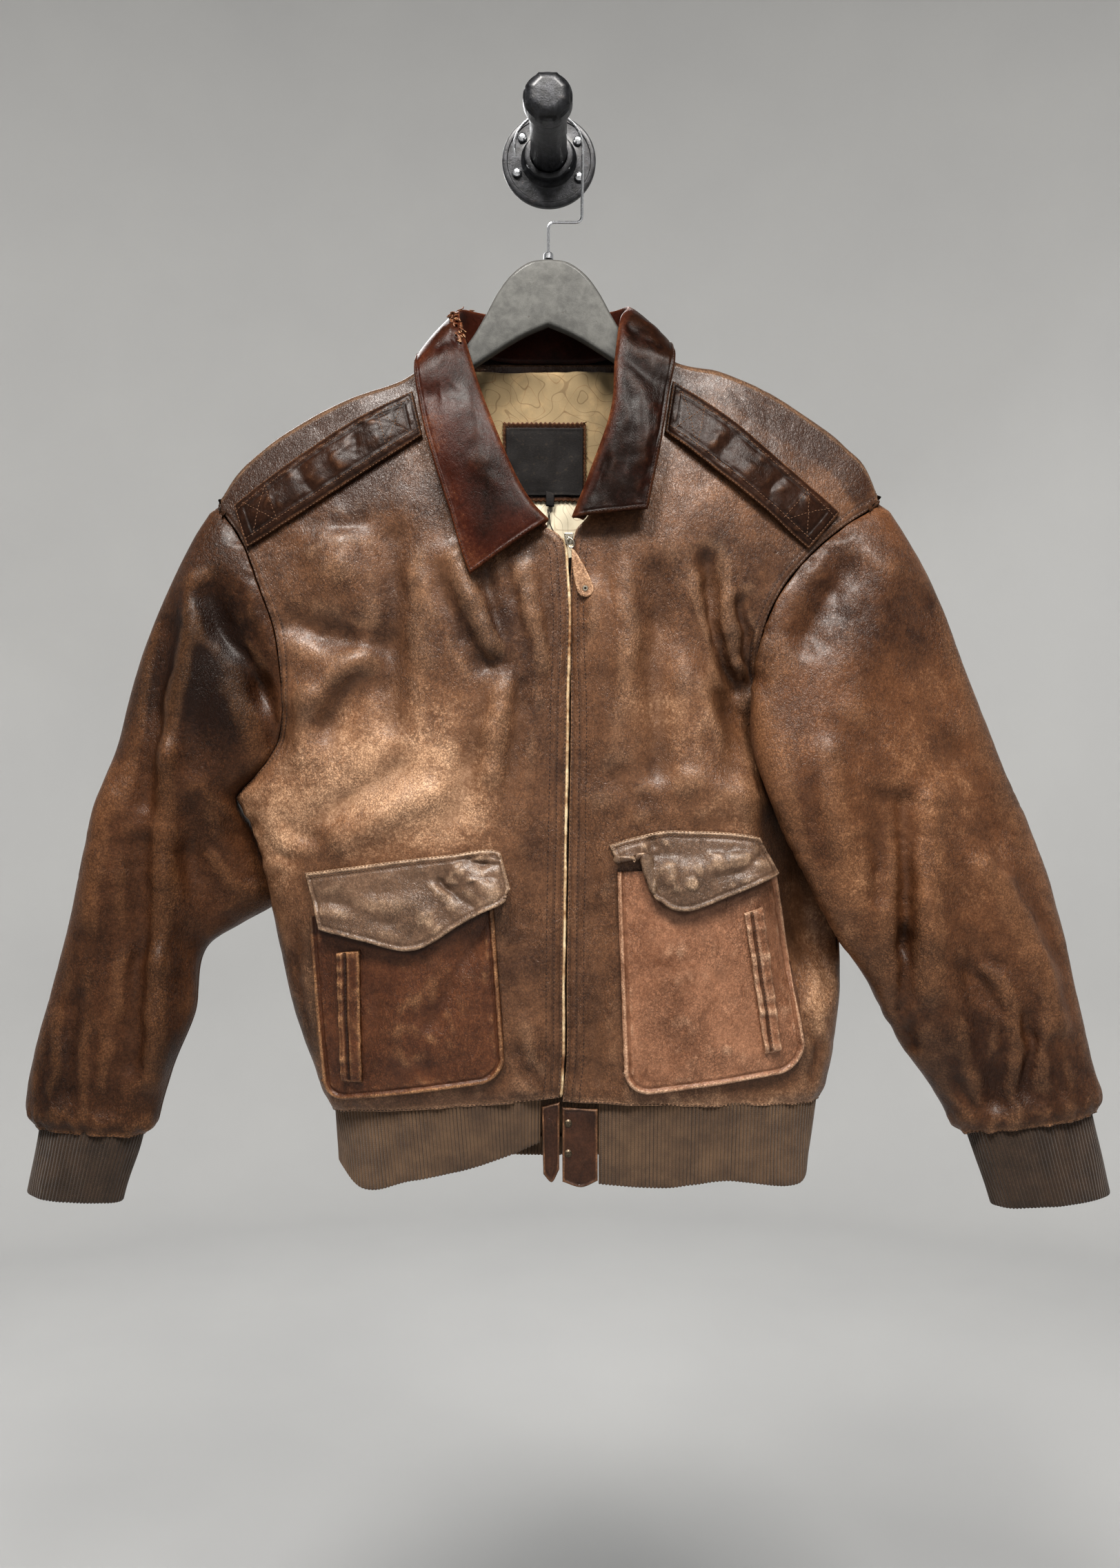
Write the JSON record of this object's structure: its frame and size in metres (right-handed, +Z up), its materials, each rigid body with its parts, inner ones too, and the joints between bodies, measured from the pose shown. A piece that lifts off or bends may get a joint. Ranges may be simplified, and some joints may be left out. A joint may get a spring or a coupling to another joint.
{
  "type": "worn leather jacket on a hanger and pipe wall hook",
  "caption": "Worn brown leather bomber jacket with knitted waistband and cuffs, flap pockets and shoulder straps, on a hanger hooked over a pipe peg.",
  "frame": {"origin": "centre of the pipe flange's back face, where it meets the wall", "axes": "+Z up, +Y into the wall, +X to the right of someone looking at the front of the jacket"},
  "size_m": [0.9628, 0.1398, 1],
  "materials": {
    "brown_leather": "worn semi-gloss brown leather, tan where it is rubbed",
    "dark_leather": "dark red-brown leather with a dull shine",
    "rib_knit": "taupe brown ribbed knit",
    "lining_cloth": "tan and cream cotton lining with thin dark contour-like lines",
    "label_cloth": "plain black woven cloth",
    "hanger_paint": "wood painted mottled grey",
    "chrome_wire": "bright chrome",
    "black_iron": "black iron, slightly rough",
    "zip_metal": "aged nickel"
  },
  "bodies": {
    "jacket": {"back": "brown_leather", "back_lining": "lining_cloth", "collar": "dark_leather", "cuff_left": "rib_knit", "cuff_right": "rib_knit", "epaulette_left": "dark_leather", "epaulette_right": "dark_leather", "flange_screw_1": "chrome_wire", "flange_screw_2": "chrome_wire", "flange_screw_3": "chrome_wire", "flange_screw_4": "chrome_wire", "front_left": "brown_leather", "front_right": "brown_leather", "hanger": "hanger_paint", "hanger_hook": "chrome_wire", "hem_snap_lower": "zip_metal", "hem_snap_upper": "zip_metal", "hem_tab_left": "brown_leather", "hem_tab_right": "brown_leather", "hook_ferrule": "chrome_wire", "label_cloth": "label_cloth", "label_patch": "dark_leather", "pipe": "black_iron", "pipe_cap": "black_iron", "pocket_flap_left": "brown_leather", "pocket_flap_right": "brown_leather", "pocket_left": "brown_leather", "pocket_right": "brown_leather", "sleeve_left": "brown_leather", "sleeve_right": "brown_leather", "waist_rib": "rib_knit", "wall_flange": "black_iron", "welt_left": "brown_leather", "welt_right": "brown_leather", "zip_slider": "zip_metal", "zip_slider_bail": "zip_metal", "zip_tape": "dark_leather"},
    "zip_pull": {"zip_pull_ring": "zip_metal", "zip_pull_tab": "dark_leather", "zip_pull_eyelet": "zip_metal"}
  },
  "joints": [
    {"name": "zip_pull_swing", "type": "hinge", "parent": "jacket", "child": "zip_pull", "pos_m": [0.01809, -0.11758, -0.37429], "axis": [-0.9511, 0, -0.309], "range_deg": [0, 110]}
  ]
}
